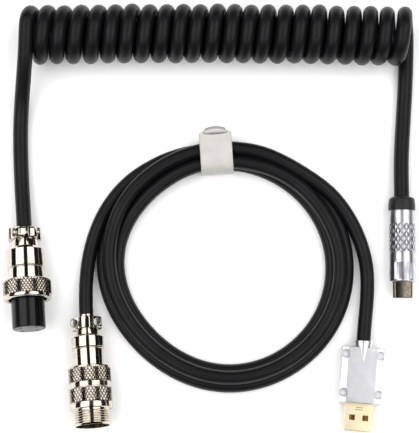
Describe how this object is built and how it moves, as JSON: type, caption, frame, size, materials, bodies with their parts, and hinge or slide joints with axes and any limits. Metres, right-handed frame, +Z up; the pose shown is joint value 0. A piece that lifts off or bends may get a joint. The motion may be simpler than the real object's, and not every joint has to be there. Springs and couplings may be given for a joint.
{
  "type": "coiled keyboard cable set",
  "caption": "Coiled cable with a reversible plug and a round lock-ring coupler, and its tied host cable with a threaded coupler and a flat plug.",
  "frame": {"origin": "on the table, under the middle of the four plugs and the tie", "axes": "+X along the coil from the round lock-ring coupler's side to the reversible plug's side, +Y from the plugs' noses towards the coil, +Z up from the table"},
  "size_m": [0.1762, 0.1827, 0.0255],
  "materials": {
    "curly_jacket": "satin extruded jacket",
    "host_jacket": "satin extruded jacket",
    "nickel_shell": "polished nickel plate",
    "knurled_nickel": "knurled nickel plate",
    "black_insert": "gloss",
    "pin_carrier": "gloss",
    "gold_contacts": "gold flash",
    "wire_insulation": "satin",
    "screw_steel": "plated",
    "spring_steel": "bright",
    "soft_cap": "matt",
    "satin_aluminium": "satin turned and knurled",
    "inner_mould": "as moulded",
    "circuit_board": "solder mask",
    "steel_shell": "bright",
    "contact_moulding": "as moulded",
    "gold_shell": "gold plate",
    "hook_and_loop": "woven tape"
  },
  "bodies": {
    "coiled_cable": {"curly_cord_coil": "curly_jacket", "curly_cord_left_tail": "curly_jacket", "ring_coupler_back_shell": "nickel_shell", "ring_coupler_clamp_bar": "nickel_shell", "ring_coupler_clamp_screws": "screw_steel", "ring_coupler_contacts": "gold_contacts", "ring_coupler_front_shell": "nickel_shell", "ring_coupler_insert": "black_insert", "ring_coupler_retaining_clip": "spring_steel", "ring_coupler_wires": "wire_insulation"},
    "lock_ring": {"ring_coupler_lock_ring": "knurled_nickel"},
    "type_c_end": {"curly_cord_right_tail": "curly_jacket", "type_c_board": "circuit_board", "type_c_boot": "soft_cap", "type_c_contacts": "gold_contacts", "type_c_crimp_ferrule": "spring_steel", "type_c_inner_mould": "inner_mould", "type_c_liner": "contact_moulding", "type_c_shell": "steel_shell", "type_c_sleeve": "satin_aluminium"},
    "host_cable": {"host_cord_left_tail": "host_jacket", "host_cord_loop": "host_jacket", "host_cord_right_tail": "host_jacket", "thread_coupler_back_shell": "nickel_shell", "thread_coupler_barrel": "knurled_nickel", "thread_coupler_clamp_bar": "nickel_shell", "thread_coupler_clamp_screws": "screw_steel", "thread_coupler_front_shell": "nickel_shell", "thread_coupler_insert": "pin_carrier", "thread_coupler_pins": "gold_contacts", "thread_coupler_retaining_nut": "nickel_shell", "thread_coupler_wires": "wire_insulation", "tie_band": "hook_and_loop", "type_a_board": "circuit_board", "type_a_bottom_housing": "nickel_shell", "type_a_contacts": "gold_contacts", "type_a_screws": "screw_steel", "type_a_shell": "gold_shell", "type_a_tongue": "contact_moulding", "type_a_top_housing": "nickel_shell", "type_a_wires": "wire_insulation"},
    "tie_tail": {"tie_tail": "hook_and_loop"}
  },
  "joints": [
    {"name": "lock_ring_turn", "type": "hinge", "parent": "coiled_cable", "child": "lock_ring", "pos_m": [-0.07684, -0.00612, 0.01067], "axis": [0.0761, -0.9896, 0.1219], "continuous": true},
    {"name": "coil_stretch", "type": "slide", "parent": "coiled_cable", "child": "type_c_end", "axis": [1, 0, 0], "range_m": [0, 0.06], "stiffness_N_per_m": 4, "deforming": ["curly_cord_coil"]},
    {"name": "host_cable_lift", "type": "slide", "parent": "coiled_cable", "child": "host_cable", "axis": [0, 0, 1], "range_m": [0, 0.1]},
    {"name": "tie_tail_peel", "type": "hinge", "parent": "host_cable", "child": "tie_tail", "pos_m": [0.0021, 0.06466, 0.01409], "axis": [0.9978, 0.0663, 0], "range_deg": [0, 110]}
  ]
}
